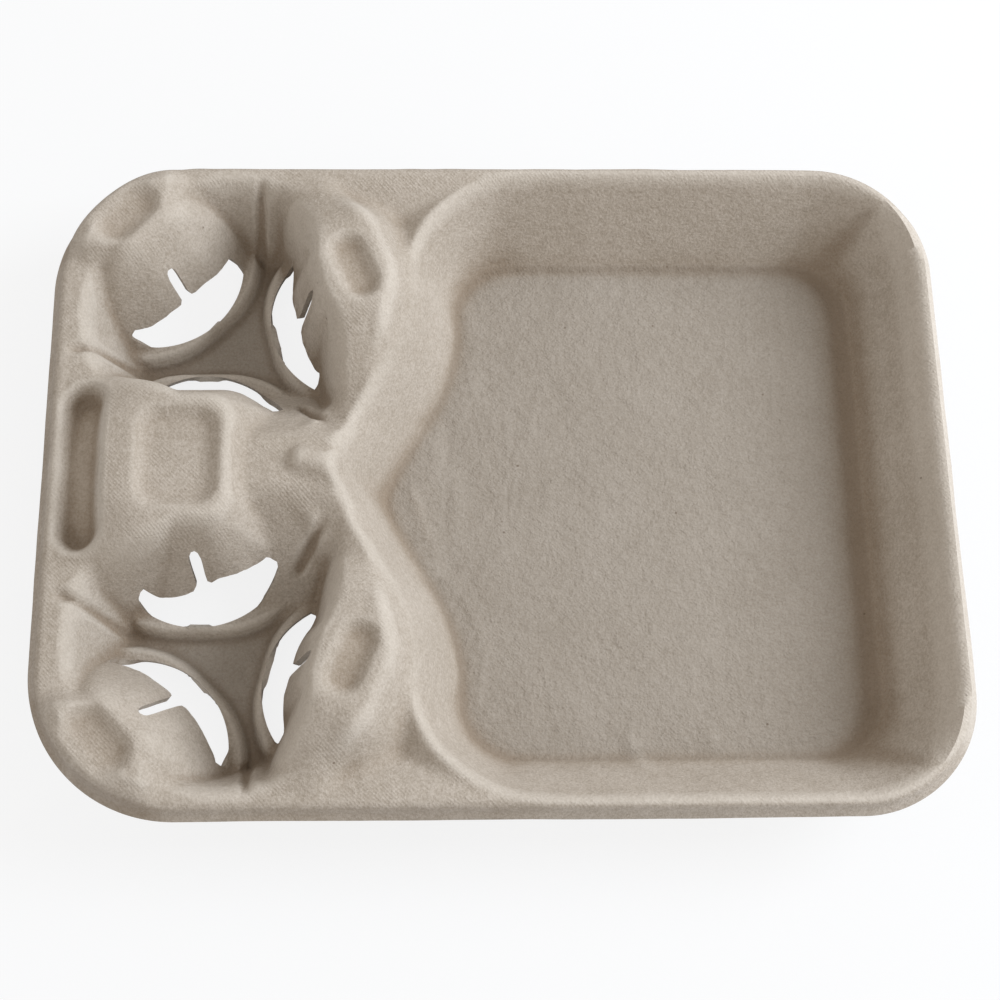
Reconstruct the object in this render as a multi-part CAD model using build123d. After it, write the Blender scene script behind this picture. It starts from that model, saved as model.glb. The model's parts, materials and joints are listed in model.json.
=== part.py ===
"""Moulded-fibre carry-out tray: two cup wells beside one food compartment.

The tray is one sheet of paper pulp, formed on a screen, and every wall leans back so that the trays nest.
The sheet is the space between two copies of one surface: its upper side, and the same surface one sheet
thickness below. Millimetres. +X runs from the cup wells to the compartment and +Z is up. The origin is at
the middle of the tray, on the surface that it stands on.
"""

import os
from math import cos, radians, sin, tan

from build123d import *

# Sheet and rim. Rounded edges are given on the sheet's underside, where they are tightest
sheet = 2.0
tray_length = 300.0
tray_width = 227.0
rim_height = 40.0
rim_flat = 0.4
lip_inner_round = 3.6
lip_drop = 7.0
cup_end_corner = 48.0
food_end_corner = 40.0
crest_inner_round = 1.6

# Food compartment
food_draft = 23.0
floor_corner = 19.0
floor_round = 6.0
divider = 6.4

# Notch in the compartment's inner wall, between the two cup wells
notch_slant = 30.8
notch_deck = 3.0
notch_tip_round = 8.0
notch_shoulder_round = 28.0

# Cup wells, one at each side of the middle line
well_gap = 15.2
well_draft = 20.5
well_round = 5.0
cup_end_deck = 3.6

# Posts that grip the cups, three around each well; the middle one serves both wells
plate_radius = 8.3
corner_post_direction = 225.3
post_base_radius = 34.5
post_draft = 21.0
post_inner_round = 9.0
post_straight = 10.0
centre_post_straight = 14.0
corner_post_rise = 6.0
side_post_rise = 13.0
centre_post_rise = 12.0

# Raised border of a well's base plate, along each window
collar_width = 3.8
collar_height = 3.5

# Windows at the posts' feet, and the slit that parts each post's wall into two flaps
window_setback = 3.8
window_width = 7.7
window_half_angle = 56.0
slit_width = 3.6
slit_end_radius = 2.6
slit_rise = 8.0

# Dimples in the post tops
dimple_width = 11.0
dimple_length = 24.0
dimple_depth = 2.6
dimple_draft = 35.0
centre_dimple_width = 23.0
centre_dimple_length = 33.0
centre_dimple_corner = 8.0
corner_dimple_shift = 3.0

# Finger slot at the cup end
slot_inset = 14.2
slot_width = 12.0
slot_length = 54.0
slot_depth = 9.0
slot_draft = 8.0

# Rib on the saddle between wells and compartment
rib_length = 20.0
rib_inner_width = 4.0
rib_rise = 7.0
rib_inner_round = 1.2
rib_overlap = 1.5

# Grooves up the well's wall, between the posts
groove_radius = 2.6
groove_foot = 9.0

# Length that every cut runs past what it cuts
overrun = 5.0


def on_ring(centre, distance, direction):
    """Point at a distance from a centre, in a direction given in degrees."""
    turn = radians(direction)
    return centre[0] + distance * cos(turn), centre[1] + distance * sin(turn)


def lean(rise, draft):
    """How far a wall moves sideways over a rise."""
    return rise * tan(radians(draft))


def across(depth, draft):
    """Level distance between two leaning walls that lie depth apart."""
    return depth / cos(radians(draft))


def pocket_growth(depth, draft):
    """How much wider a pocket is on its floor when its wall and its floor both lie depth further out."""
    return across(depth, draft) - lean(depth, draft)


def leaning(outline, low, high, draft):
    """Outline at height low, carried up to height high. A positive draft narrows it on the way."""
    return extrude(Pos(0, 0, low) * outline, high - low, taper=draft)


def with_mirror(shape):
    """The shape at the near side and its mirror image at the far side."""
    return [shape, mirror(shape, Plane.XZ)]


def round_corners(outline, corners, radius):
    """Round an outline at the given corner points."""
    for corner in corners:
        nearest = outline.vertices().sort_by_distance((*corner, 0))[0]
        outline = fillet(nearest, radius)
    return outline


def crest_run(draft):
    """Width that the rounded crest takes up beside a leaning wall."""
    return (crest_inner_round + sheet) * tan(radians(90 - draft) / 2)


# Heights of what stands above the deck, and heights that cuts reach
corner_post_height = rim_height + corner_post_rise
side_post_height = rim_height + side_post_rise
centre_post_height = rim_height + centre_post_rise
rib_height = rim_height + rib_rise
pocket_top = rim_height + overrun
top_of_all = max(corner_post_height, side_post_height, centre_post_height) + overrun

# The two wells share the width that the rims and the deck between them leave
rim_width = lip_inner_round + sheet + rim_flat
well_margin = rim_width + crest_run(well_draft)
well_top_radius = (tray_width / 2 - well_margin - well_gap / 2) / 2
well_base_radius = well_top_radius - lean(rim_height - sheet, well_draft)
well_inset = well_margin + well_top_radius
well_centre = (well_inset + cup_end_deck - tray_length / 2, well_inset - tray_width / 2)

# Axes of the near well's posts around its base plate, and the directions of the grooves between them
post_distance = plate_radius + post_base_radius
post_directions = [corner_post_direction + turn for turn in (0, 120, 240)]
groove_directions = [direction + 60 for direction in post_directions]
corner_post, side_post, centre_post = [
    on_ring(well_centre, post_distance, direction) for direction in post_directions
]

# The windows' radii around the posts' axes
window_sill_radius = post_base_radius - window_setback
window_head_radius = window_sill_radius - window_width
slit_top_radius = window_head_radius - slit_rise

# The compartment's floor, as far inside the rim and the wells' crests as its wall needs
wall_width = crest_run(food_draft) + lean(rim_height - sheet, food_draft)
floor_inset = rim_width + wall_width
floor_left = well_centre[0] + well_top_radius + crest_run(well_draft) + divider + wall_width
floor_right = tray_length / 2 - floor_inset
floor_side = tray_width / 2 - floor_inset

# The notch's flanks pass the wells at a set distance from their centres
flank_turn = radians(notch_slant)
flank_distance = well_top_radius + crest_run(well_draft) + notch_deck + wall_width
flank_start = (flank_distance - (floor_left - well_centre[0]) * cos(flank_turn)) / sin(flank_turn)
notch_shoulder = abs(well_centre[1] + flank_start)
notch_tip = well_centre[0] + (flank_distance + well_centre[1] * sin(flank_turn)) / cos(flank_turn)


def tray_plan(inset):
    """Outline of the whole tray, with larger corners at the cup end."""
    half_length = tray_length / 2 - inset
    half_width = tray_width / 2 - inset
    plan = Rectangle(2 * half_length, 2 * half_width)
    cup_end = [(-half_length, side * half_width) for side in (-1, 1)]
    food_end = [(half_length, side * half_width) for side in (-1, 1)]
    plan = round_corners(plan, cup_end, cup_end_corner - inset)
    return round_corners(plan, food_end, food_end_corner - inset)


def slab(depth):
    """Solid below the deck, with the rim's rolled edge."""
    block = leaning(tray_plan(depth), -overrun, rim_height - depth, 0)
    top_edges = block.faces().sort_by(Axis.Z)[-1].edges()
    return fillet(top_edges, lip_inner_round + sheet - depth)


def floor_plan():
    """Outline of the compartment's floor, with the notch that reaches between the two cup wells."""
    right_ends = [(floor_right, -floor_side), (floor_right, floor_side)]
    left_ends = [(floor_left, floor_side), (floor_left, -floor_side)]
    shoulders = [(floor_left, notch_shoulder), (floor_left, -notch_shoulder)]
    tip = (notch_tip, 0)
    corners = [*right_ends, left_ends[0], shoulders[0], tip, shoulders[1], left_ends[1]]
    plan = make_face(Polyline(*corners, close=True))
    plan = round_corners(plan, right_ends + left_ends, floor_corner)
    plan = round_corners(plan, shoulders, notch_shoulder_round)
    return round_corners(plan, [tip], notch_tip_round)


def round_floor(room, radius):
    """Round the edge between a pocket's floor and its wall."""
    return fillet(room.faces().sort_by(Axis.Z)[0].edges(), radius)


def compartment(depth):
    """Room for the food: a pocket with a flat floor and leaning walls."""
    plan = offset(floor_plan(), pocket_growth(depth, food_draft))
    room = leaning(plan, sheet - depth, pocket_top, -food_draft)
    return round_floor(room, floor_round + depth)


def well(depth):
    """Round pocket for one cup."""
    plan = Circle(well_base_radius + pocket_growth(depth, well_draft))
    room = leaning(Pos(*well_centre) * plan, sheet - depth, pocket_top, -well_draft)
    return round_floor(room, well_round + depth)


def post(plan, height, depth):
    """One post: its outline at the table, leaning in to a rounded top."""
    inner = offset(plan, -across(depth, post_draft))
    shaft = leaning(inner, 0, height - depth, post_draft)
    shaft = fillet(shaft.faces().sort_by(Axis.Z)[-1].edges(), post_inner_round + sheet - depth)
    return shaft + leaning(inner, -overrun, 0, 0)


def posts(depth):
    """Corner posts, posts beside the compartment, and the broad post that both wells share."""
    single = SlotCenterToCenter(post_straight, 2 * post_base_radius)
    broad = RectangleRounded(
        centre_post_straight + 2 * post_base_radius,
        2 * abs(centre_post[1]) + 2 * post_base_radius,
        post_base_radius,
    )
    corner_plan = Pos(*corner_post) * Rotation(0, 0, post_directions[0] + 90) * single
    side_plan = Pos(*side_post) * Rotation(0, 0, post_directions[1] + 90) * single
    centre_plan = Pos(centre_post[0], 0) * broad
    inside_rim = leaning(tray_plan(depth), -overrun, top_of_all, 0)
    return [
        *with_mirror(post(corner_plan, corner_post_height, depth) & inside_rim),
        *with_mirror(post(side_plan, side_post_height, depth)),
        post(centre_plan, centre_post_height, depth),
    ]


def ring_part(outer, inner, half_angle):
    """Part of a ring, to each side of the X direction."""
    reach = 2 * outer
    spread = reach * tan(radians(half_angle))
    wedge = make_face(Polyline((0, 0), (reach, -spread), (reach, spread), close=True))
    return (Circle(outer) - Circle(inner)) & wedge


def facing_well(plan):
    """The plan placed at each post of the near well, with its X direction towards the well."""
    axes = (corner_post, side_post, centre_post)
    return [Pos(*axis) * Rotation(0, 0, turn + 180) * plan for axis, turn in zip(axes, post_directions)]


def collars(depth):
    """Raised border of the base plate, along each window."""
    band = ring_part(window_sill_radius + collar_width, window_head_radius, window_half_angle)
    found = []
    for plan in facing_well(offset(band, -depth)):
        found += with_mirror(leaning(plan, -overrun, sheet + collar_height - depth, 0))
    return found


def windows():
    """Openings at the posts' feet, each with the slit that parts two flaps."""
    arc = ring_part(window_sill_radius, window_head_radius, window_half_angle)
    slit_length = window_head_radius + slit_width - slit_top_radius
    slit = Pos(slit_top_radius + slit_length / 2, 0) * Rectangle(slit_length, slit_width)
    slit_end = Pos(slit_top_radius, 0) * Circle(slit_end_radius)
    found = []
    for plan in facing_well(arc + slit + slit_end):
        found += with_mirror(leaning(plan, -overrun, top_of_all, 0))
    return found


def dimple(plan, height, depth):
    """Shallow hollow pressed into a post's top; the plan is its outline at the top."""
    growth = pocket_growth(depth, dimple_draft) - lean(dimple_depth, dimple_draft)
    return leaning(offset(plan, growth), height - dimple_depth - depth, top_of_all, -dimple_draft)


def dimples(depth):
    """The hollows in all five post tops."""
    oval = SlotOverall(dimple_length, dimple_width)
    broad = RectangleRounded(centre_dimple_width, centre_dimple_length, centre_dimple_corner)
    corner_middle = on_ring(corner_post, corner_dimple_shift, post_directions[0])
    corner_plan = Pos(*corner_middle) * Rotation(0, 0, post_directions[0] + 90) * oval
    side_plan = Pos(*side_post) * Rotation(0, 0, post_directions[1] + 90) * oval
    return [
        *with_mirror(dimple(corner_plan, corner_post_height, depth)),
        *with_mirror(dimple(side_plan, side_post_height, depth)),
        dimple(Pos(centre_post[0], 0) * broad, centre_post_height, depth),
    ]


def finger_slot(depth):
    """Trough in the deck at the cup end, to carry the tray by."""
    growth = pocket_growth(depth, slot_draft) - lean(slot_depth, slot_draft)
    plan = offset(SlotOverall(slot_length, slot_width, rotation=90), growth)
    place = Pos(slot_inset - tray_length / 2, 0)
    return leaning(place * plan, rim_height - slot_depth - depth, pocket_top, -slot_draft)


def rib(depth):
    """Bar that stiffens the saddle between the wells and the compartment."""
    margin = sheet - depth
    plan = SlotOverall(rib_length - 2 * depth, rib_inner_width + 2 * margin)
    end = notch_tip - lean(rim_height - sheet, food_draft) + rib_overlap
    place = Pos(end - rib_length / 2, 0)
    bar = leaning(place * plan, rim_height - sheet - depth, rib_height - depth, 0)
    return fillet(bar.faces().sort_by(Axis.Z)[-1].edges(), rib_inner_round + margin)


def grooves(depth):
    """Valleys that run up the well's wall between the posts."""
    radius = groove_radius + depth
    found = []
    for direction in groove_directions:
        foot_radius = well_base_radius + lean(groove_foot - sheet, well_draft)
        foot = Vector(*on_ring(well_centre, foot_radius, direction), groove_foot)
        head = Vector(*on_ring(well_centre, well_top_radius, direction), rim_height)
        up = head - foot
        rod = Cylinder(radius, up.length + overrun, align=(Align.CENTER, Align.CENTER, Align.MIN))
        found += with_mirror(Plane(foot, z_dir=up) * rod + Pos(foot) * Sphere(radius))
    return found


def below_surface(depth):
    """Everything below the tray's surface, with that surface sunk by depth."""
    block = slab(depth) - compartment(depth) - with_mirror(well(depth))
    crests = [edge for wire in block.faces().sort_by(Axis.Z)[-1].inner_wires() for edge in wire.edges()]
    block = fillet(crests, crest_inner_round + sheet - depth)
    block = block + posts(depth) + collars(depth) + rib(depth)
    return block - dimples(depth) - finger_slot(depth) - grooves(depth)


def outside_lip():
    """What lies around and below the rim's rolled edge."""
    ring = tray_plan(-overrun) - tray_plan(sheet)
    return leaning(ring, -2 * overrun, rim_height - lip_drop, 0)


tray = below_surface(0) - below_surface(sheet) - outside_lip() - windows()

os.makedirs("parts", exist_ok=True)
export_step(tray, "parts/moulded_tray.step")
print(f"moulded_tray: {len(tray.solids())} solid, {tray.volume:.0f} cubic mm, {tray.bounding_box()}")
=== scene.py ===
# %% [markdown]
# This lesson dresses a moulded pulp tray that carries two cups and a meal. The real tray is one sheet
# of wet paper fibre, sucked onto a wire screen and dried, so it has no seams: everything is a rise or a
# hollow in the same sheet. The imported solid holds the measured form. We load it first and keep its box,
# because the dressed sheet has to keep to that size.

import json
from math import cos, pi, radians, sin, tan

import bmesh
import bpy
import numpy as np
from mathutils import Euler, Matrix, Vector, noise


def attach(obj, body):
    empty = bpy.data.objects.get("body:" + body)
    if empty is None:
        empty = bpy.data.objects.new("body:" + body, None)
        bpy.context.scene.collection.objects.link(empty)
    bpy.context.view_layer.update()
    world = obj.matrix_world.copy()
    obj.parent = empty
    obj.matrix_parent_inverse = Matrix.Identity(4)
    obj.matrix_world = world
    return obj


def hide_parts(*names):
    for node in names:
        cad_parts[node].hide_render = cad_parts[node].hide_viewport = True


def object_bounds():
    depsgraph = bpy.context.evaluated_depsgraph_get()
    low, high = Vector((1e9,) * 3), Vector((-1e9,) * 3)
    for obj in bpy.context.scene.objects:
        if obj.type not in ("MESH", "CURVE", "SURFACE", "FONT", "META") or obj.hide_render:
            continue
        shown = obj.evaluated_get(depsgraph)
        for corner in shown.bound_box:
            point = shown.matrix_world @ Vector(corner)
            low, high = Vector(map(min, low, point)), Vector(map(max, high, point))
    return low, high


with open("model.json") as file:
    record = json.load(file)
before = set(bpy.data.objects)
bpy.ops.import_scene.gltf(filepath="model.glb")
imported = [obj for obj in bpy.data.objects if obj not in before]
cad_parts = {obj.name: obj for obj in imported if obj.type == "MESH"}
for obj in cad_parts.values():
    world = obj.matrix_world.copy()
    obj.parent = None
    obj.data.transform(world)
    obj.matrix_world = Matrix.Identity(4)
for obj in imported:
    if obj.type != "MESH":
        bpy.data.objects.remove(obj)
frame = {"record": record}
cad_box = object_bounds()
mm = 0.001
low, high = (np.array(corner) / mm for corner in cad_box)
print("packed tray, millimetres:", low.round(1), high.round(1))

# %% [markdown]
# The surface is one height over the plan, so it could be sculpted by hand, displaced by an image or
# worked out from its parts. We work it out: each part of the mould gives a height, and soft blends join
# them, as pulp does when it settles into a mould. All lengths here are millimetres. The outline, the
# wells and the finger slot take their places from the frame.

# %% Places read from the frame
openings = {row["name"]: row["box_m"] for row in frame["record"]["physics"]["openings"]}


def middle_of(name):
    """Middle of an opening in plan, in millimetres."""
    return (np.array(openings[name]) / mm).mean(axis=0)[:2]


half_length, half_width = (high - low)[:2] / 2
well = middle_of("near_cup_foot")
slot_middle = middle_of("finger_slot")
deck_height = 40.0
sheet = 2.0
floor_height = sheet + 0.7
print("near well at", well.round(1), "finger slot at", slot_middle.round(1))

# %% [markdown]
# Two surfaces that meet in a crease would look like folded card. A soft minimum or maximum rounds the
# crease: where the two heights lie closer than the reach, it eases from one to the other. A larger
# reach gives a rounder edge.

# %% Soft blends


def soft_min(a, b, reach):
    """The lower of two heights, rounded where they lie closer than the reach."""
    share = np.clip(0.5 + 0.5 * (b - a) / reach, 0, 1)
    return b + (a - b) * share - reach * share * (1 - share)


def soft_max(a, b, reach):
    """The higher of two heights, rounded where they lie closer than the reach."""
    return -soft_min(-a, -b, reach)


def ease(value, start, end):
    """0 before start, 1 after end, and an S curve between them."""
    t = np.clip((value - start) / (end - start), 0, 1)
    return t * t * (3 - 2 * t)


print("where two heights are equal, a reach of 4 mm adds", soft_max(0.0, 0.0, 4.0), "mm")

# %% [markdown]
# The outline is a rectangle with larger corners at the cup end. A bevelled plate could give it, but we
# need to know how far inside the edge any point lies, for the rolled rim and for the lip. A distance
# function tells exactly that.

# %% Outline and rolled rim
cup_end_corner = 48.0
food_end_corner = 40.0
rim_round = 3.4
rim_inset = 2.3


def rounded_box(x, y, half_x, half_y, corner):
    """Distance outside a rectangle with rounded corners; negative inside."""
    past_x = abs(x) - half_x + corner
    past_y = abs(y) - half_y + corner
    outside = np.hypot(np.maximum(past_x, 0), np.maximum(past_y, 0))
    return outside + np.minimum(np.maximum(past_x, past_y), 0) - corner


def inside_edge(x, y):
    """How far inside the tray's outline a point lies."""
    corner = np.where(x < 0, cup_end_corner, food_end_corner)
    return -rounded_box(x, y, half_length, half_width, corner)


def rim_drop(inset):
    """How far the rolled rim has fallen at a distance inside the outline."""
    past = np.clip(rim_inset + rim_round - inset, 0, rim_round)
    return rim_round - np.sqrt(rim_round**2 - past**2)


print("the rim rolls down by", round(float(rim_drop(rim_inset)), 2), "mm")

# %% [markdown]
# The food compartment is a pocket with leaning walls and a notch that reaches between the cups. Its
# floor is a rounded box joined to a wedge, again with a soft minimum, so the notch's shoulders come out
# round. A wall's height is its distance from the floor divided by the tangent of its lean. The three
# outer walls lean further than the notch, whose tip is the steepest place.

# %% Food compartment
notch_draft, wall_draft = 23.0, 27.6
draft_change = (-18.0, 25.0)
floor_left, floor_right = -13.0, 125.5
floor_side = 89.0
floor_corner = 19.0
floor_fillet = 4.0
notch_tip = -38.0
notch_slant = 30.8
notch_blunt = 5.0
notch_side = 62.0
notch_back = 30.0
shoulder_reach = 9.0
tip_steeper, tip_reach = 5.5, 13.0
tip_end = (-40.0, -25.0)


def outside_floor(x, y):
    """Distance outside the compartment's floor, seen from above."""
    centre = (floor_left + floor_right) / 2
    box = rounded_box(x - centre, y, (floor_right - floor_left) / 2, floor_side, floor_corner)
    slant = radians(notch_slant)
    spread = np.sqrt(y**2 + notch_blunt**2) - notch_blunt
    wedge = (notch_tip - x) * cos(slant) + spread * sin(slant)
    wedge = np.maximum(wedge, np.maximum(abs(y) - notch_side, x - notch_back))
    return soft_min(box, wedge, shoulder_reach)


def compartment(x, y):
    """Height of the compartment's floor and walls."""
    steeper = tip_steeper * np.exp(-((y / tip_reach) ** 2)) * (1 - ease(x, *tip_end))
    lean = notch_draft - steeper + (wall_draft - notch_draft) * ease(x, *draft_change)
    walls = sheet + outside_floor(x, y) / np.tan(np.radians(lean))
    return soft_max(floor_height, walls, floor_fillet)


print("compartment floor of", floor_right - floor_left, "by", 2 * floor_side, "mm")

# %% [markdown]
# Between a side post and the compartment the deck sinks into a small triangle, so the compartment keeps
# a crest of its own. We make the crest a line at a fixed distance from the floor, from which the deck
# falls away, because then it follows the notch round by itself.

# %% Deck
crest_distance = 17.0
crest_slope = 0.8
triangle_depth = 11.0
triangle_starts, triangle_ends = (-66.0, -48.0), (5.0, 30.0)
triangle_from_rim = (3.0, 36.0)
crest_reach, deck_reach = 2.5, 1.5


def deck(x, y):
    """Height of the deck with its two sunken triangles."""
    beside_post = ease(x, *triangle_starts) * (1 - ease(x, *triangle_ends))
    from_rim = ease(half_width - abs(y), *triangle_from_rim)
    sunken = deck_height - triangle_depth * beside_post * from_rim
    crest = deck_height - crest_slope * (outside_floor(x, y) - crest_distance)
    return soft_min(deck_height, soft_max(sunken, crest, crest_reach), deck_reach)


print("the triangles sink by at most", triangle_depth, "mm")

# %% [markdown]
# Each cup well is a leaning pocket with three posts around it, which grip the cup. The middle post
# serves both wells. The two wells mirror each other, so a function made for the near well serves both
# if it is given the distance from the middle line, with a minus sign.

# %% Wells and the posts' places
well_draft = 20.5
well_base_radius = 34.5
plate_fillet = 5.0
post_distance = 42.8
post_turns = {"corner": 225.3, "side": 345.3, "centre": 105.3}
post_half_bar = 5.0
centre_half_bar = 7.0


def around(turn, distance):
    """Point around the near well, at a direction in degrees and a distance."""
    return well + distance * np.array([cos(radians(turn)), sin(radians(turn))])


post_axes = {name: around(turn, post_distance) for name, turn in post_turns.items()}


def turned_to(x, y, middle, turn):
    """Plan coordinates along and beside a direction in degrees, from a middle point."""
    c, s = cos(radians(turn)), sin(radians(turn))
    return (x - middle[0]) * c + (y - middle[1]) * s, (y - middle[1]) * c - (x - middle[0]) * s


def from_bar(x, y, middle, half, turn):
    """Distance from a short bar that lies in a direction given in degrees."""
    along, beside = turned_to(x, y, middle, turn)
    return np.hypot(np.maximum(abs(along) - half, 0), beside)


def from_post(name, x, y):
    """Distance from a post's axis, which is a bar, or a plate for the middle post."""
    axis = post_axes[name]
    if name == "centre":
        past_x = np.maximum(abs(x - axis[0]) - centre_half_bar, 0)
        past_y = np.maximum(abs(y) - abs(axis[1]), 0)
        return np.hypot(past_x, past_y)
    return from_bar(x, y, axis, post_half_bar, post_turns[name] + 90)


def wells(x, y):
    """Height of a well's plate and wall."""
    radius = np.hypot(x - well[0], y - well[1])
    wall = sheet + (radius - well_base_radius) / tan(radians(well_draft))
    return soft_max(floor_height, wall, plate_fillet)


print("posts at", {name: axis.round(1).tolist() for name, axis in post_axes.items()})

# %% [markdown]
# A post's top is a nearly flat oval pad, and the deck swells up to it in a skirt. Its slope may change
# across the pad: a side post's skirt is gentle towards the cup and steep behind, and the middle post's
# is gentle towards the end of the tray. A distance from the oval gives pad and skirt at once, which a
# bevelled block could not.

# %% Pads of the posts
post_tops = {"corner": 46.0, "side": high[2], "centre": 52.0}
pad_places = {"corner": ((-125.5, -90.0), 133.0), "side": ((-48.0, -66.5), 68.0)}
pad_half_bars = {"corner": 8.0, "side": 12.5}
pad_radii = {"corner": 12.5, "side": 11.5}
centre_pad = (-106.5, 19.0, 21.5, 10.0)
skirt_slopes = {"corner": (0.95, 0.95), "side": (0.4, 1.7), "centre": (0.3, 1.7)}
skirt_turns = {"corner": 225.3, "side": 345.3, "centre": 0.0}
skirt_change = (-6.0, 10.0)
skirt_reaches = {"corner": 4.0, "side": 4.0, "centre": 2.6}


def outside_pad(name, x, y):
    """Distance outside a post's flat top; negative on it."""
    if name == "centre":
        middle, half_x, half_y, corner = centre_pad
        return rounded_box(x - middle, y, half_x, half_y, corner)
    place, turn = pad_places[name]
    return from_bar(x, y, place, pad_half_bars[name], turn) - pad_radii[name]


def pad(name, x, y):
    """A post's flat top with the skirt that falls to the deck around it."""
    gentle, steep = skirt_slopes[name]
    middle = (centre_pad[0], 0) if name == "centre" else pad_places[name][0]
    outer, _ = turned_to(x, y, middle, skirt_turns[name])
    slope = gentle + (steep - gentle) * ease(outer, *skirt_change)
    skirt = post_tops[name] - slope * outside_pad(name, x, y)
    return soft_min(post_tops[name], skirt, skirt_reaches[name])


print("pads at heights", {name: round(float(top), 1) for name, top in post_tops.items()})

# %% [markdown]
# Towards the cup a pad turns into a steep wall, which is the flap that grips the cup. Beside the cup
# the same wall leans further and further out, so the post is round all the way and no edge runs down
# its side. At the foot a low step goes round the post. It carries the sill of the window.

# %% Walls of the posts
post_edges = {"corner": 6.0, "side": 12.0, "centre": 7.0}
flap_radius, flap_height = 20.5, 20.0
flank_slopes = {"corner": 1.3, "side": 0.75, "centre": 0.65}
flank_offsets = {"corner": 2.0, "side": 3.0, "centre": 8.0}
flank_turns = {"corner": (40, 86), "side": (38, 72), "centre": (40, 86)}
back_offset, back_turns = 26.0, (85, 150)
edge_reach = 7.0
collar_radius, collar_height = 34.5, 9.0
collar_draft, collar_reach = 21.0, 1.0


def post(name, x, y):
    """Height of one post: its pad, a steep wall towards the cup and flanks that lean out."""
    dx, dy = x - post_axes[name][0], y - post_axes[name][1]
    turned = abs((np.degrees(np.arctan2(dy, dx)) - post_turns[name]) % 360 - 180)
    aside = ease(turned, *flank_turns[name])
    front_slope = (post_tops[name] - flap_height) / (flap_radius - post_edges[name])
    slope = front_slope + (flank_slopes[name] - front_slope) * aside
    edge = post_edges[name] + flank_offsets[name] * aside + back_offset * ease(turned, *back_turns)
    wall = post_tops[name] - slope * (from_post(name, x, y) - edge)
    return soft_min(pad(name, x, y), wall, edge_reach)


def collar(name, x, y):
    """Height of the step at a post's foot, which carries the window's sill."""
    step = (collar_radius - from_post(name, x, y)) / tan(radians(collar_draft))
    return soft_min(collar_height, step, collar_reach)


print("collars of", collar_height, "mm around the posts' feet")

# %% [markdown]
# The mould also presses small details into the sheet: a dimple in each pad, a trough for a finger at
# the cup end, and a valley between every two posts. Each is a depth that is taken from the height, with
# a soft edge, because wet fibre can't fill a sharp corner. Carving them with booleans would leave such
# corners.

# %% Pressed details
dimple_depth = 3.4
dimple_bars = {"corner": (5.0, 8.8), "side": (6.0, 7.4)}
centre_dimple = (-104.0, 14.5, 18.0, 9.0)
centre_dimple_slope = 8.0
dish_power = 1.8
slot_half_length = 21.0
slot_walls = (3.0, 9.2)
slot_depth = 9.0
groove_ends = {280.0: 50.0, 165.0: 55.0, 51.0: 50.0}
groove_foot, groove_fade = (33.0, 37.0), (-4.0, 2.0)
groove_depth = 4.2
groove_half_width, groove_blunt = 2.3, 0.1


def dish(away, radius):
    """A shallow dish from 1 in its middle to 0 at a radius, with a clear edge."""
    return 0.5 + 0.5 * np.cos(pi * np.clip(away / radius, 0, 1) ** dish_power)


def dimples(x, y):
    """Depth pressed into the post tops."""
    depth = np.zeros_like(x)
    for name, (place, turn) in pad_places.items():
        half_bar, radius = dimple_bars[name]
        depth += dimple_depth * dish(from_bar(x, y, place, half_bar, turn), radius)
    middle, half_x, half_y, corner = centre_dimple
    inner = rounded_box(x - middle, y, half_x, half_y, corner) + centre_dimple_slope
    return depth + dimple_depth * dish(inner, centre_dimple_slope)


def finger_slot(x, y):
    """Depth of the trough in the deck."""
    away = np.hypot(x - slot_middle[0], np.maximum(abs(y) - slot_half_length, 0))
    return slot_depth * (1 - ease(away, *slot_walls))


def grooves(x, y):
    """Depth of the valleys up the well's wall, between the posts."""
    depth = np.zeros_like(x)
    for turn, end in groove_ends.items():
        along, beside = turned_to(x, y, well, turn)
        run = ease(along, *groove_foot) * (1 - ease(along, end + groove_fade[0], end + groove_fade[1]))
        notch = np.clip(1 - np.sqrt(beside**2 + groove_blunt) / groove_half_width, 0, 1)
        depth = np.maximum(depth, groove_depth * run * notch)
    return depth


print("dimples", dimple_depth, "mm, finger slot", slot_depth, "mm and grooves", groove_depth, "mm deep")

# %% [markdown]
# Between the two wells the sheet forms a bridge, the saddle. A low bar runs over it to the tip of the
# notch and keeps it from folding when the tray is lifted. Both are distances from a short bar again:
# the saddle has a flat top with sloping sides, and the rib is simply round.

# %% Saddle and rib
saddle_middle, saddle_half_bar = (-70.0, 0.0), 15.0
saddle_height, saddle_half_width = 46.0, 9.0
saddle_slope, saddle_reach = 1.3, 5.0
rib_middle, rib_half_bar, rib_turn = (-56.5, -1.5), 8.0, -14.0
rib_height, rib_roundness = 49.8, 0.13
rib_fall_start, rib_fall = -54.0, 0.4


def saddle(x, y):
    """Height of the bridge between the wells, which carries the rib."""
    away = from_bar(x, y, saddle_middle, saddle_half_bar, 0)
    side = saddle_height - saddle_slope * (away - saddle_half_width)
    return soft_min(saddle_height, side, saddle_reach)


def rib(x, y):
    """Height of the bar that runs over the saddle towards the notch."""
    away = from_bar(x, y, rib_middle, rib_half_bar, rib_turn)
    return rib_height - rib_roundness * away**2 - rib_fall * np.maximum(x - rib_fall_start, 0)


print("the rib stands", round(rib_height - saddle_height, 1), "mm above the saddle")

# %% [markdown]
# No pulp tray is perfect. The sheet sags and swells by a few tenths of a millimetre as it dries, and
# the floor keeps some folds and dents. A displacement texture could do it, but Blender's own noise
# gives the same wobble on every run, and the few folds that can be seen from a step away are listed
# one by one.

# %% Drying marks
sags = ((0.35, 38.0, 1.5), (0.16, 13.0, 4.5))
folds = (
    # start, end, rise and spread
    ((43, -82), (46, -92), 0.9, 2.6),
    ((70, -82), (72, -86), 0.6, 2.4),
    ((-17, 30), (-18, -22), -0.5, 2.6),
    ((-29, 4), (-24, -12), 0.6, 2.0),
)


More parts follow.
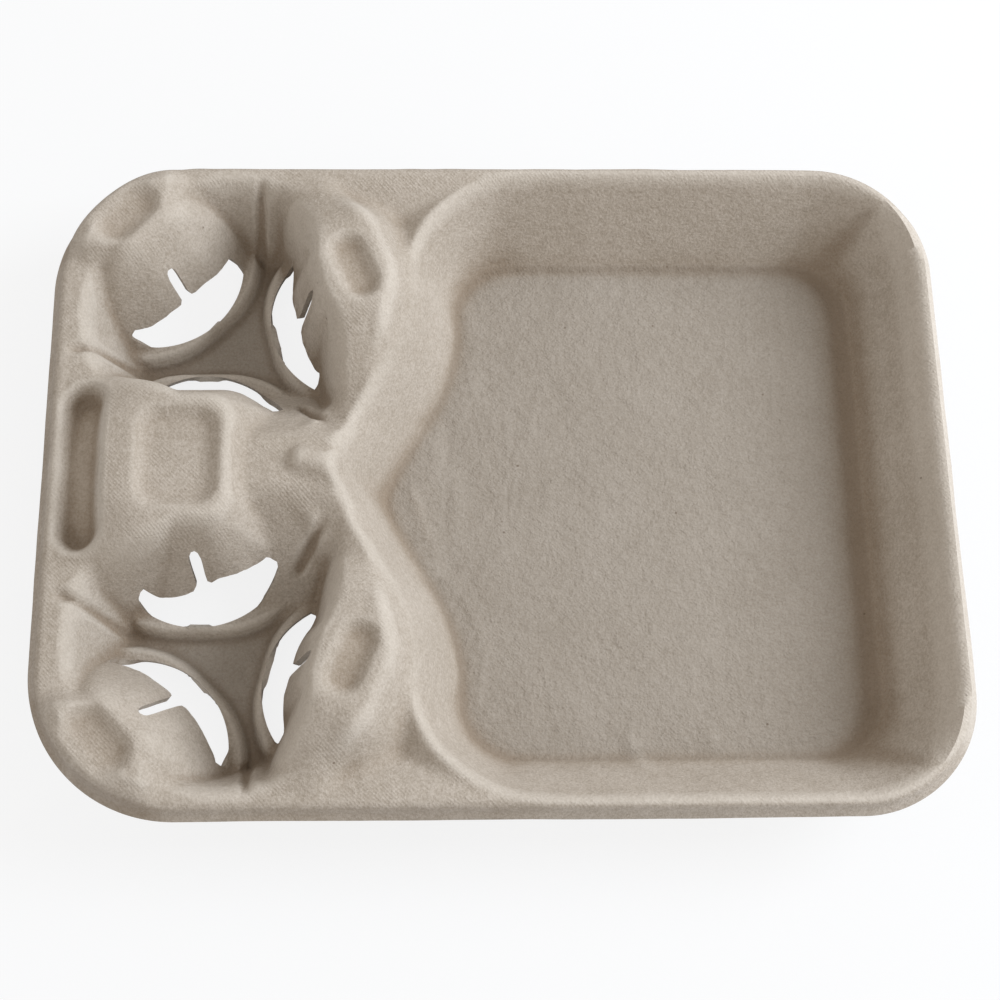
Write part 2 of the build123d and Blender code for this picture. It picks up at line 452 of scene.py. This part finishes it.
def wobble(x, y, layers):
    """Smooth noise over the plan, in layers that each have a strength, a lump size and a seed."""
    total = np.zeros_like(x)
    for strength, size, seed in layers:
        points = zip(x.ravel() / size, y.ravel() / size)
        lumps = np.array([noise.noise(Vector((px, py, seed))) for px, py in points])
        total += strength * lumps.reshape(x.shape)
    return total


def fold(x, y, start, end, rise, spread):
    """A short fold or dent along a line, fading out at its ends."""
    middle = (np.array(start) + np.array(end)) / 2
    reach = np.array(end) - np.array(start)
    half = np.hypot(*reach) / 2
    turn = np.degrees(np.arctan2(reach[1], reach[0]))
    return rise * np.exp(-((from_bar(x, y, middle, half, turn) / spread) ** 2))


def drying_marks(x, y):
    """Small height changes all over the sheet."""
    marks = wobble(x, y, sags)
    for line in folds:
        marks += fold(x, y, *line)
    return marks


print(len(folds), "folds placed by hand")

# %% [markdown]
# Now the parts come together. A pocket or a well takes the lower of two heights, and a post, the saddle
# or a collar takes the higher. The order matters: the deck is cut first, the posts grow out of what is
# left, and the compartment cuts the posts too, so no post hangs over the food. The reach of each blend
# is how round that meeting is on the real tray.

# %% Height of the sheet
rim_strip, rim_fall = 9.0, 0.7
join_reaches = {"saddle": 5.0, "rib": 1.5, "foot": 1.6}
cut_reaches = {"compartment": 5.0, "well": 7.0, "saddle": 6.0, "rib": 4.0, "post": 6.0}
rib_proud = 0.6
skirt_blends = {"corner": 5.5, "side": 6.0, "centre": 3.0}
skirt_heights = (14, 38)
quiet_edge = (1, 8)


def height_of(x, y):
    """Height of the tray's upper surface over any point of the plan."""
    near = -abs(y)
    inset = inside_edge(x, y)
    pressed = finger_slot(x, y) + rim_drop(inset)
    beside_rim = rim_fall * np.maximum(rim_strip - inset, 0)
    pocket = compartment(x, y)
    z = soft_min(deck(x, y) - pressed, pocket, cut_reaches["compartment"])
    z = soft_min(z, wells(x, near), cut_reaches["well"])
    z = soft_max(z, soft_min(saddle(x, y), pocket, cut_reaches["saddle"]), join_reaches["saddle"])
    z = soft_max(z, soft_min(rib(x, y), pocket + rib_proud, cut_reaches["rib"]), join_reaches["rib"])
    for name in post_turns:
        z = soft_max(z, collar(name, x, near), join_reaches["foot"])
        raised = soft_min(post(name, x, near) - pressed - beside_rim, pocket, cut_reaches["post"])
        z = soft_max(z, raised, join_reaches["foot"] + skirt_blends[name] * ease(z, *skirt_heights))
    marks = ease(inset, *quiet_edge) * drying_marks(x, y)
    return z - dimples(x, near) - grooves(x, near) + marks


middle_height = height_of(*well.reshape(2, 1))[0]
print("height in the middle of the near well:", middle_height.round(2))

# %% [markdown]
# A grid is the natural start for a sheet. Its columns lie closer together over the wells, where the
# form is busy, than over the plain compartment. The grid's border is then pulled in to the rounded
# outline, and less so further inside, so that the faces stay even.

# %% Grid with the tray's outline
fine, coarse = 1.05, 2.3
row_stretch = 1.03
spacing_change = (-25, 20)
edge_inset = 2.9
pull_power = 5
half_x, half_y = half_length - edge_inset, half_width - edge_inset
columns = [-half_x]
while columns[-1] < half_x:
    columns.append(columns[-1] + fine + (coarse - fine) * float(ease(columns[-1], *spacing_change)))
columns = -half_x + (np.array(columns) + half_x) * 2 * half_x / (columns[-1] + half_x)
rows = np.linspace(-half_y, half_y, round(2 * half_y / fine / row_stretch))


def to_outline(x, y):
    """Pull a rectangle's points in to the rounded outline, mostly near the border."""
    share = np.maximum(np.maximum(abs(x) / half_x, abs(y) / half_y), 1e-6)
    edge_x, edge_y = x / share, y / share
    corner = np.where(x < 0, cup_end_corner, food_end_corner) - edge_inset
    from_x = (half_x - abs(edge_x)) / corner
    from_y = (half_y - abs(edge_y)) / corner
    in_corner = (from_x < 1) & (from_y < 1)
    angle = pi / 2 * (0.5 - 0.5 * from_x + 0.5 * from_y)
    round_x = np.sign(x) * (half_x - corner + corner * np.sin(angle))
    round_y = np.sign(y) * (half_y - corner + corner * np.cos(angle))
    pull = share**pull_power * in_corner
    return x + pull * (round_x - edge_x), y + pull * (round_y - edge_y)


sheet_mesh = bmesh.new()
bmesh.ops.create_grid(sheet_mesh, x_segments=len(columns) - 1, y_segments=len(rows) - 1, size=1)
unit = np.array([v.co[:2] for v in sheet_mesh.verts])
column = np.rint((unit[:, 0] + 1) / 2 * (len(columns) - 1)).astype(int)
row = np.rint((unit[:, 1] + 1) / 2 * (len(rows) - 1)).astype(int)
plan_x, plan_y = to_outline(columns[column], rows[row])
print("grid of", len(columns), "by", len(rows), "points")

# %% [markdown]
# At each post's foot the sheet is open. The window has a clean lower edge, the sill, and above it the
# wall is torn into two ragged flaps with a slit between them. The flaps bend when a cup is pushed in. A
# distance function again tells where the opening is, measured round the post's axis.

# %% Shape of the windows
window_sills = {"corner": 30.4, "side": 31.0, "centre": 30.3}
head_bow, bow_angle, bow_power = 5.2, 46.0, 1.8
slit_half_width, slit_overlap, slit_reach = 1.9, 2.0, 1.2
tears, slit_tear_share = ((0.25, 2.6, 8.5), (0.5, 7.3, 2.5)), 0.6
far_off = 99.0
windows = {
    # post and side: head radius, first and last angle, slit's offset and top radius
    ("centre", -1): (20.0, -54, 51, -2.5, 12.8),
    ("centre", 1): (20.0, -52, 52, -4.5, 14.0),
    ("corner", -1): (20.4, -57, 61, -0.3, 8.4),
    ("corner", 1): (20.8, -47, 58, 3.0, 13.4),
    ("side", -1): (21.8, -47, 50, 0.3, 13.0),
    ("side", 1): (21.6, -46, 50, -0.8, 15.0),
}


def outside_windows(x, y):
    """Distance outside the nearest window, seen from above; negative inside it."""
    near = -abs(y)
    ragged = wobble(x, y, tears)
    found = np.full_like(x, far_off)
    for (name, side), (head, first, last, offset, slit_top) in windows.items():
        along, beside = turned_to(x, near, post_axes[name], post_turns[name] + 180)
        radius = np.hypot(along, beside)
        turned = np.degrees(np.arctan2(beside, along))
        top = head + head_bow * abs(turned / bow_angle) ** bow_power + ragged
        ring = np.maximum(radius - window_sills[name], top - radius)
        ring = np.maximum(ring, radius * np.radians(np.maximum(first - turned, turned - last)))
        nearest = np.clip(along, slit_top + slit_half_width, head + slit_overlap)
        slit = np.hypot(along - nearest, beside - offset) - slit_half_width - slit_tear_share * ragged
        gap = soft_min(ring, slit, slit_reach)
        found = np.where(y * side > 0, np.minimum(found, gap), found)
    return found


distance = outside_windows(plan_x, plan_y)
print(int((distance < 0).sum()), "grid points lie inside the windows")

# %% [markdown]
# Cutting the windows with a boolean would leave slivers. Instead, wherever a grid edge crosses a
# window's edge, the nearer of its two points slides onto it, down the slope of the distance. Then every
# point gets its height.

# %% Points on the windows' edges
slide_passes, slide_step, least_steep = 3, 0.05, 0.25


def slide_to_edge(x, y):
    """Move points along the slope of the distance until they lie on a window's edge."""
    step = slide_step
    for _ in range(slide_passes):
        here = outside_windows(x, y)
        slope_x = (outside_windows(x + step, y) - outside_windows(x - step, y)) / (2 * step)
        slope_y = (outside_windows(x, y + step) - outside_windows(x, y - step)) / (2 * step)
        steep = np.maximum(slope_x**2 + slope_y**2, least_steep)
        x, y = x - here * slope_x / steep, y - here * slope_y / steep
    return x, y


on_edge = set()
for edge in sheet_mesh.edges:
    a, b = (v.index for v in edge.verts)
    if distance[a] * distance[b] < 0:
        on_edge.add(a if abs(distance[a]) < abs(distance[b]) else b)
on_edge = np.array(sorted(on_edge))
plan_x[on_edge], plan_y[on_edge] = slide_to_edge(plan_x[on_edge], plan_y[on_edge])
distance[on_edge] = 0
heights = height_of(plan_x, plan_y)
for vert, x, y, z in zip(sheet_mesh.verts, plan_x, plan_y, heights):
    vert.co = Vector((x, y, z)) * mm
print(len(on_edge), "points moved onto the windows' edges")
print("heights from", heights.min().round(2), "to", heights.max().round(2))

# %% [markdown]
# Recesses are painted warmer and darker, as painted shade where little light reaches them, and edges
# are painted paler, as a painted highlight. Painting that by hand would take long. We compare each
# point's height with the average around it, and keep the difference as an attribute that the finish can
# read.

# %% Depth of each point below its surroundings
hollow_rounds, crease_rounds = 36, 7
# Shares of painted shade that each pressed detail adds to the hollow attribute, less for the middle
# post's dimples.
shade_shares = {"dimples": 0.8, "grooves": 0.7, "finger_slot": 0.3}
centre_half_width, centre_shade_share = 30.0, 0.3


def below_average(rounds):
    """How far each point lies below the average around it, over more ground with more rounds."""
    lie = heights[np.lexsort((column, row))].reshape(len(rows), len(columns))
    smooth = lie.copy()
    for _ in range(rounds):
        padded = np.pad(smooth, 1, mode="edge")
        smooth = (padded[:-2, 1:-1] + padded[2:, 1:-1] + padded[1:-1, :-2] + padded[1:-1, 2:]) / 4
    return (smooth - lie)[row, column]


def pressed_in(x, y):
    """Depth of what is pressed into the sheet, weighed by how much painted shade it gets."""
    near = -abs(y)
    on_centre = np.where(abs(y) < centre_half_width, centre_shade_share, 1.0)
    depth = shade_shares["dimples"] * on_centre * dimples(x, near)
    depth += shade_shares["grooves"] * grooves(x, near)
    return depth + shade_shares["finger_slot"] * finger_slot(x, y)


depths = {
    "hollow": below_average(hollow_rounds) + pressed_in(plan_x, plan_y),
    "crease": below_average(crease_rounds),
}
for name, depth in depths.items():
    layer = sheet_mesh.verts.layers.float.new(name)
    for vert, value in zip(sheet_mesh.verts, depth):
        vert[layer] = float(value)
    print("deepest", name, depth.max().round(2), "mm below its surroundings")

# %% [markdown]
# The rim rolls over and ends in a lip. Extruding the border loop a few times makes it. The lip's lower
# edge is rough on the real tray, so it waves a little. On the near side it hangs lower beside the
# compartment and is drawn up beside the well.

# %% Rolled lip
lip_bottom = 33.2
lip_loops = ((2.25, None), (1.75, 0.35), (1.0, 0.6), (0.35, 0.85), (0.0, 1.0))
lip_ripples = ((0.7, 26.0, 6.5), (0.35, 9.0, 3.5))
lip_swells = ((-1.3, 55, 45), (0.9, -80, 22))
near_strip = (90, 110)


def lip_wave(x, y):
    """How far the lip's lower edge lies higher or lower along the outline."""
    swell = sum(rise * np.exp(-(((x - place) / width) ** 2)) for rise, place, width in lip_swells)
    return wobble(x, y, lip_ripples) + ease(-y, *near_strip) * swell


def outward(x, y):
    """Direction straight out of the outline."""
    step = 0.02
    slope_x = inside_edge(x - step, y) - inside_edge(x + step, y)
    slope_y = inside_edge(x, y - step) - inside_edge(x, y + step)
    length = np.hypot(slope_x, slope_y)
    return slope_x / length, slope_y / length


border = [edge for edge in sheet_mesh.edges if edge.is_boundary]
for inset, hang in lip_loops:
    made = bmesh.ops.extrude_edge_only(sheet_mesh, edges=border)["geom"]
    border = [item for item in made if isinstance(item, bmesh.types.BMEdge)]
    verts = [item for item in made if isinstance(item, bmesh.types.BMVert)]
    x, y = np.array([v.co[:2] for v in verts]).T / mm
    out_x, out_y = outward(x, y)
    move = inside_edge(x, y) - inset
    x, y = x + move * out_x, y + move * out_y
    top = deck_height - rim_drop(np.full_like(x, max(inset, rim_inset)))
    z = top if hang is None else top + (lip_bottom + lip_wave(x, y) - top) * hang
    for vert, px, py, pz in zip(verts, x, y, z):
        vert.co = Vector((px, py, pz)) * mm
print("lip of", len(lip_loops), "loops with", len(border), "edges each")

# %% [markdown]
# Now the windows are opened. Where a face lies across the edge, two of its corners are on the edge
# already, so it is split between them first, and then the faces inside are deleted.

# %% Opened windows
state = np.ones(len(sheet_mesh.verts))
state[: len(distance)] = distance
sheet_mesh.verts.index_update()
for face in list(sheet_mesh.faces):
    signs = [state[v.index] for v in face.verts]
    if min(signs) < 0 < max(signs):
        corners = [v for v in face.verts if state[v.index] == 0]
        if len(corners) == 2:
            bmesh.utils.face_split(face, *corners)
inside = [f for f in sheet_mesh.faces if sum(state[v.index] for v in f.verts) < 0]
bmesh.ops.delete(sheet_mesh, geom=inside, context="FACES")
print(len(inside), "faces removed from the windows")

# %% [markdown]
# The sheet is still a skin without thickness. Solidify gives it the two millimetres that the torn edges
# show, downwards, so the upper side keeps its place. The result is read back as a plain mesh, so that
# the torn edges can be marked sharp while everything else is shaded smooth.

# %% Thickness
sharp_angle = 62
tray_mesh = bpy.data.meshes.new("moulded_sheet")
sheet_mesh.normal_update()
sheet_mesh.to_mesh(tray_mesh)
sheet_mesh.free()
skin = bpy.data.objects.new("skin", tray_mesh)
bpy.context.collection.objects.link(skin)
thicken = skin.modifiers.new("thickness", "SOLIDIFY")
thicken.thickness = sheet * mm
thicken.offset = -1
thicken.use_quality_normals = True
thick_skin = skin.evaluated_get(bpy.context.evaluated_depsgraph_get())
solid = bpy.data.meshes.new_from_object(thick_skin)
bpy.data.objects.remove(skin)
solid.shade_smooth()
solid.set_sharp_from_angle(angle=radians(sharp_angle))
tray = bpy.data.objects.new("pulp_tray", solid)
bpy.context.collection.objects.link(tray)
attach(tray, "root")
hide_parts("moulded_tray")
print("tray of", sum(len(p.vertices) - 2 for p in solid.polygons), "triangles")

# %% [markdown]
# Shader maths reads best as plain sums. This small class wraps a socket, and every operator adds a Math
# node, so a finish can be written as an expression. Any other node comes from one function, which is
# given the node's type, its settings and its sockets.

# %% Node helper


class Wire:
    """A value in a node tree, on which arithmetic adds Math nodes."""

    def __init__(self, tree, socket):
        self.tree = tree
        self.socket = socket

    def math(self, operation, *values):
        """Add a Math node for some values, of which this is one."""
        return node(self.tree, "ShaderNodeMath", {"operation": operation}, dict(enumerate(values)))

    def __add__(self, other):
        return self.math("ADD", self, other)

    def __sub__(self, other):
        return self.math("SUBTRACT", self, other)

    def __rsub__(self, other):
        return self.math("SUBTRACT", other, self)

    def __mul__(self, other):
        return self.math("MULTIPLY", self, other)

    __radd__ = __add__
    __rmul__ = __mul__

    def clip(self, start, end):
        """0 before start, 1 after end, and an S curve between them."""
        settings = {"interpolation_type": "SMOOTHSTEP"}
        sockets = {"Value": self, "From Min": start, "From Max": end}
        return node(self.tree, "ShaderNodeMapRange", settings, sockets)


def node(tree, kind, settings=None, sockets=None, output=0):
    """Add a node, set it up, and give one of its outputs, if it has any."""
    made = tree.nodes.new(kind)
    for name, value in (settings or {}).items():
        setattr(made, name, value)
    for name, value in (sockets or {}).items():
        if isinstance(value, Wire):
            tree.links.new(value.socket, made.inputs[name])
        else:
            made.inputs[name].default_value = value
    return Wire(tree, made.outputs[output]) if made.outputs else None


def tone(red, green, blue):
    """A colour given as screen values from 0 to 255."""
    parts = np.array([red, green, blue]) / 255
    linear = np.where(parts < 0.04045, parts / 12.92, ((parts + 0.055) / 1.055) ** 2.4)
    return (*linear.tolist(), 1)


print("a screen value of 128 gives", round(tone(128, 128, 128)[0], 3), "of full light")

# %% [markdown]
# Moulded pulp is matt and speckled. Its colour drifts a little over the sheet, short fibres make it
# lighter and darker at a finer scale, and a few dark specks come from the waste paper it was made of.
# Hollows and creases get painted shade, warmer and darker, and ridges a paler painted highlight, from the
# two attributes of the mesh. All patterns read Object coordinates, so they stay in place on the tray.

# %% Colour of the pulp
dark_fibre, light_fibre = tone(170, 160, 148), tone(203, 195, 186)
floor_grey, floor_share, floor_band = tone(140, 133, 125), 0.5, (3.4 * mm, 6.5 * mm)
# Painted shade: the darker, warmer colour given to hollows.
hollow_shade, hollow_shade_share, hollow_shade_band = tone(138, 115, 88), 0.4, (0.3, 6.0)
# Painted shade: the colour given to narrow creases.
crease_shade, crease_shade_share, crease_shade_band = tone(112, 92, 70), 0.24, (0.1, 1.2)
# Painted highlight: the paler colour given to ridges and rims.
ridge_highlight, ridge_highlight_share, ridge_highlight_band = tone(222, 216, 208), 0.34, (0.15, 0.9)
speck_brown, speck_share, speck_band = tone(92, 74, 56), 0.6, (0.03, 0.09)
speck_scale, speck_patches = 150, (0.62, 0.66)
fibre_band = (0.2, 0.8)
grain_shares = {"drift": 0.35, "lumps": 0.3, "fibres": 0.8, "fuzz": 0.5}
pulp = bpy.data.materials.new("moulded_pulp")
pulp.use_nodes = True
tree = pulp.node_tree
place = node(tree, "ShaderNodeTexCoord", output="Object")


def grain(scale, detail, rough=0.55):
    """Noise from 0 to 1 over the tray."""
    sockets = {"Vector": place, "Scale": scale, "Detail": detail, "Roughness": rough}
    return node(tree, "ShaderNodeTexNoise", None, sockets)


def blend(share, first, second):
    """Two colours mixed by a share."""
    sockets = {"Factor": share, "A": first, "B": second}
    return node(tree, "ShaderNodeMix", {"data_type": "RGBA"}, sockets, "Result")


def attribute(name):
    """A value that the mesh carries on its points."""
    return node(tree, "ShaderNodeAttribute", {"attribute_name": name}, output="Fac")


def coordinate(axis):
    """One of the tray's own coordinates, in metres."""
    return node(tree, "ShaderNodeSeparateXYZ", None, {"Vector": place}, axis)


lumps, fibres = grain(330, 3), grain(1100, 4)
grains = {"drift": grain(38, 3), "lumps": lumps, "fibres": fibres, "fuzz": grain(3200, 2, 0.6)}
value = 0.5
for name, pattern in grains.items():
    value = value + grain_shares[name] * (pattern - 0.5)
height = coordinate("Z")
floor = 1 - height.clip(*floor_band)
crease = attribute("crease")
speck_sockets = {"Vector": place, "Scale": speck_scale}
specks = node(tree, "ShaderNodeTexVoronoi", {"feature": "F1"}, speck_sockets, "Distance")
chosen = grain(61, 0).clip(*speck_patches)
colour = blend(value.clip(*fibre_band), dark_fibre, light_fibre)
colour = blend(floor * floor_share, colour, floor_grey)
# Painted shade in the hollows.
colour = blend(attribute("hollow").clip(*hollow_shade_band) * hollow_shade_share, colour, hollow_shade)
# Painted shade in narrow creases.
colour = blend(crease.clip(*crease_shade_band) * crease_shade_share, colour, crease_shade)
# Painted highlight on ridges and rims, where a point lies above its surroundings.
colour = blend((0 - crease).clip(*ridge_highlight_band) * ridge_highlight_share, colour, ridge_highlight)
colour = blend((1 - specks.clip(*speck_band)) * chosen * speck_share, colour, speck_brown)
print("pulp colour of", len(tree.nodes), "nodes")

# %% [markdown]
# The upper side keeps the print of the wire screen, on the deck and faintly on the floor, and
# everywhere the fibre is lumpy. Modelling the wires would take millions of faces, so these are bumps:
# two crossed sine waves for the screen, and noise for the leathery floor, the lumps and the fibres.

# %% Relief of the pulp
screen_pitch = 0.95 * mm
warp_share, weft_share = 0.7, 0.3
print_band = (36 * mm, 39 * mm)
print_patches = (0.42, 0.6)
floor_print_share = 0.5
relief_depths = {"leather": 1.1 * mm, "lumps": 0.3 * mm, "fibres": 0.3 * mm, "screen": 0.035 * mm}
least_rough, fibre_rough = 0.86, 0.12
across, along = coordinate("X"), coordinate("Y")
turn_rate = 2 * pi / screen_pitch / 2**0.5
warp, weft = (across + along) * turn_rate, (across - along) * turn_rate
weave = warp_share * warp.math("SINE", warp) + weft_share * weft.math("SINE", weft)
printed = grain(70, 2).clip(*print_patches) * (height.clip(*print_band) + floor_print_share * floor)
leather, screen = grain(190, 4, 0.6) * floor, weave * printed
layers = {"leather": leather, "lumps": lumps, "fibres": fibres, "screen": screen}
relief = None
for name, pattern in layers.items():
    sockets = {"Height": pattern, "Distance": relief_depths[name]}
    if relief:
        sockets["Normal"] = relief
    relief = node(tree, "ShaderNodeBump", None, sockets)
shader = tree.nodes["Principled BSDF"]
shader.inputs["Specular IOR Level"].default_value = 0.15
tree.links.new(colour.socket, shader.inputs["Base Color"])
tree.links.new((least_rough + fibre_rough * fibres).socket, shader.inputs["Roughness"])
tree.links.new(relief.socket, shader.inputs["Normal"])
tray.data.materials.append(pulp)
print("pulp finish of", len(tree.nodes), "nodes")

# %% [markdown]
# The tray stands on a white table. More light would turn the table white but bleach the tray. Instead,
# the table shows as nearly white only to rays that come straight from the camera, or by way of a mirror
# or glass, and it still takes the tray's shadow.

# %% Table
table_half_size = 3
white_share = 0.84
paper_white = (0.83, 0.87, 0.94, 1)
pure_white = (1, 1, 1, 1)


def seen_directly(tree):
    """1 for rays from the camera, a mirror or glass, and 0 for light that falls on the tray."""
    kinds = ("Is Camera Ray", "Is Glossy Ray", "Is Transmission Ray")
    camera, mirror, glass = (node(tree, "ShaderNodeLightPath", output=kind) for kind in kinds)
    seen = camera + mirror + glass
    return seen.math("MINIMUM", seen, 1.0)


def table_finish():
    """White table that stays white in the picture and keeps soft shadows."""
    material = bpy.data.materials.new("white_table")
    material.use_nodes = True
    tree = material.node_tree
    tree.nodes.clear()
    share = seen_directly(tree) * white_share
    paper = node(tree, "ShaderNodeBsdfDiffuse", None, {"Color": paper_white})
    glow = node(tree, "ShaderNodeEmission", None, {"Color": pure_white, "Strength": 1.0})
    mixed = node(tree, "ShaderNodeMixShader", None, {0: share, 1: paper, 2: glow})
    node(tree, "ShaderNodeOutputMaterial", None, {"Surface": mixed})
    return material


table_mesh = bmesh.new()
bmesh.ops.create_grid(table_mesh, x_segments=1, y_segments=1, size=table_half_size)
table_data = bpy.data.meshes.new("table")
table_mesh.to_mesh(table_data)
table_mesh.free()
table = bpy.data.objects.new("table", table_data)
bpy.context.collection.objects.link(table)
table.data.materials.append(table_finish())
print("table of", 2 * table_half_size, "metres")

# %% [markdown]
# The tray was lit by a large window at the far right, in a warm, pale room. One square lamp stands for
# the window, and the world fills the shade. The camera sees the world as white, so the table has no
# dark horizon.

# %% Light
fill_colour, fill_strength = (1, 0.94, 0.865, 1), 0.61
window_place = Vector((0.93, 0.21, 0.72))
window_size, window_power, window_colour = 0.6, 11.3, (0.92, 0.96, 1.0)
world = bpy.data.worlds.new("pale_room")
world.use_nodes = True
sky = world.node_tree
sky.nodes.clear()
fill = node(sky, "ShaderNodeBackground", None, {"Color": fill_colour, "Strength": fill_strength})
white = node(sky, "ShaderNodeBackground", None, {"Color": pure_white, "Strength": 1.0})
behind = node(sky, "ShaderNodeMixShader", None, {0: seen_directly(sky), 1: fill, 2: white})
node(sky, "ShaderNodeOutputWorld", None, {"Surface": behind})
bpy.context.scene.world = world
lamp = bpy.data.lights.new("window", "AREA")
lamp.size = window_size
lamp.energy = window_power
lamp.color = window_colour
holder = bpy.data.objects.new("window", lamp)
holder.location = window_place
holder.rotation_mode = "QUATERNION"
holder.rotation_quaternion = (-window_place).to_track_quat("-Z", "Y")
bpy.context.collection.objects.link(holder)
bpy.context.scene.view_settings.view_transform = "Standard"
print("window of", window_power, "watts,", round(window_place.length, 2), "metres away")

# %% [markdown]
# The camera stands where the photo was taken from: almost straight above the near side, a little to the
# left and slightly tilted. Its place was worked out from the rim, the compartment's floor and the
# wells.

# %% Camera
camera_place = Vector((-28.9, -200.25, 578.8)) * mm
camera_aim = Vector((-9.15, 2.45, 0)) * mm
camera_roll = 0.08836
lens = bpy.data.cameras.new("view")
lens.lens = 63.61
lens.sensor_width = 36
lens.shift_x = 0.0302
lens.clip_start = 0.01
eye = bpy.data.objects.new("view", lens)
eye.location = camera_place
eye.rotation_mode = "QUATERNION"
tilt = Euler((0, 0, camera_roll)).to_quaternion()
eye.rotation_quaternion = (camera_aim - camera_place).to_track_quat("-Z", "Y") @ tilt
bpy.context.collection.objects.link(eye)
bpy.context.scene.camera = eye
print("camera", round((camera_place - camera_aim).length, 3), "metres from the tray")
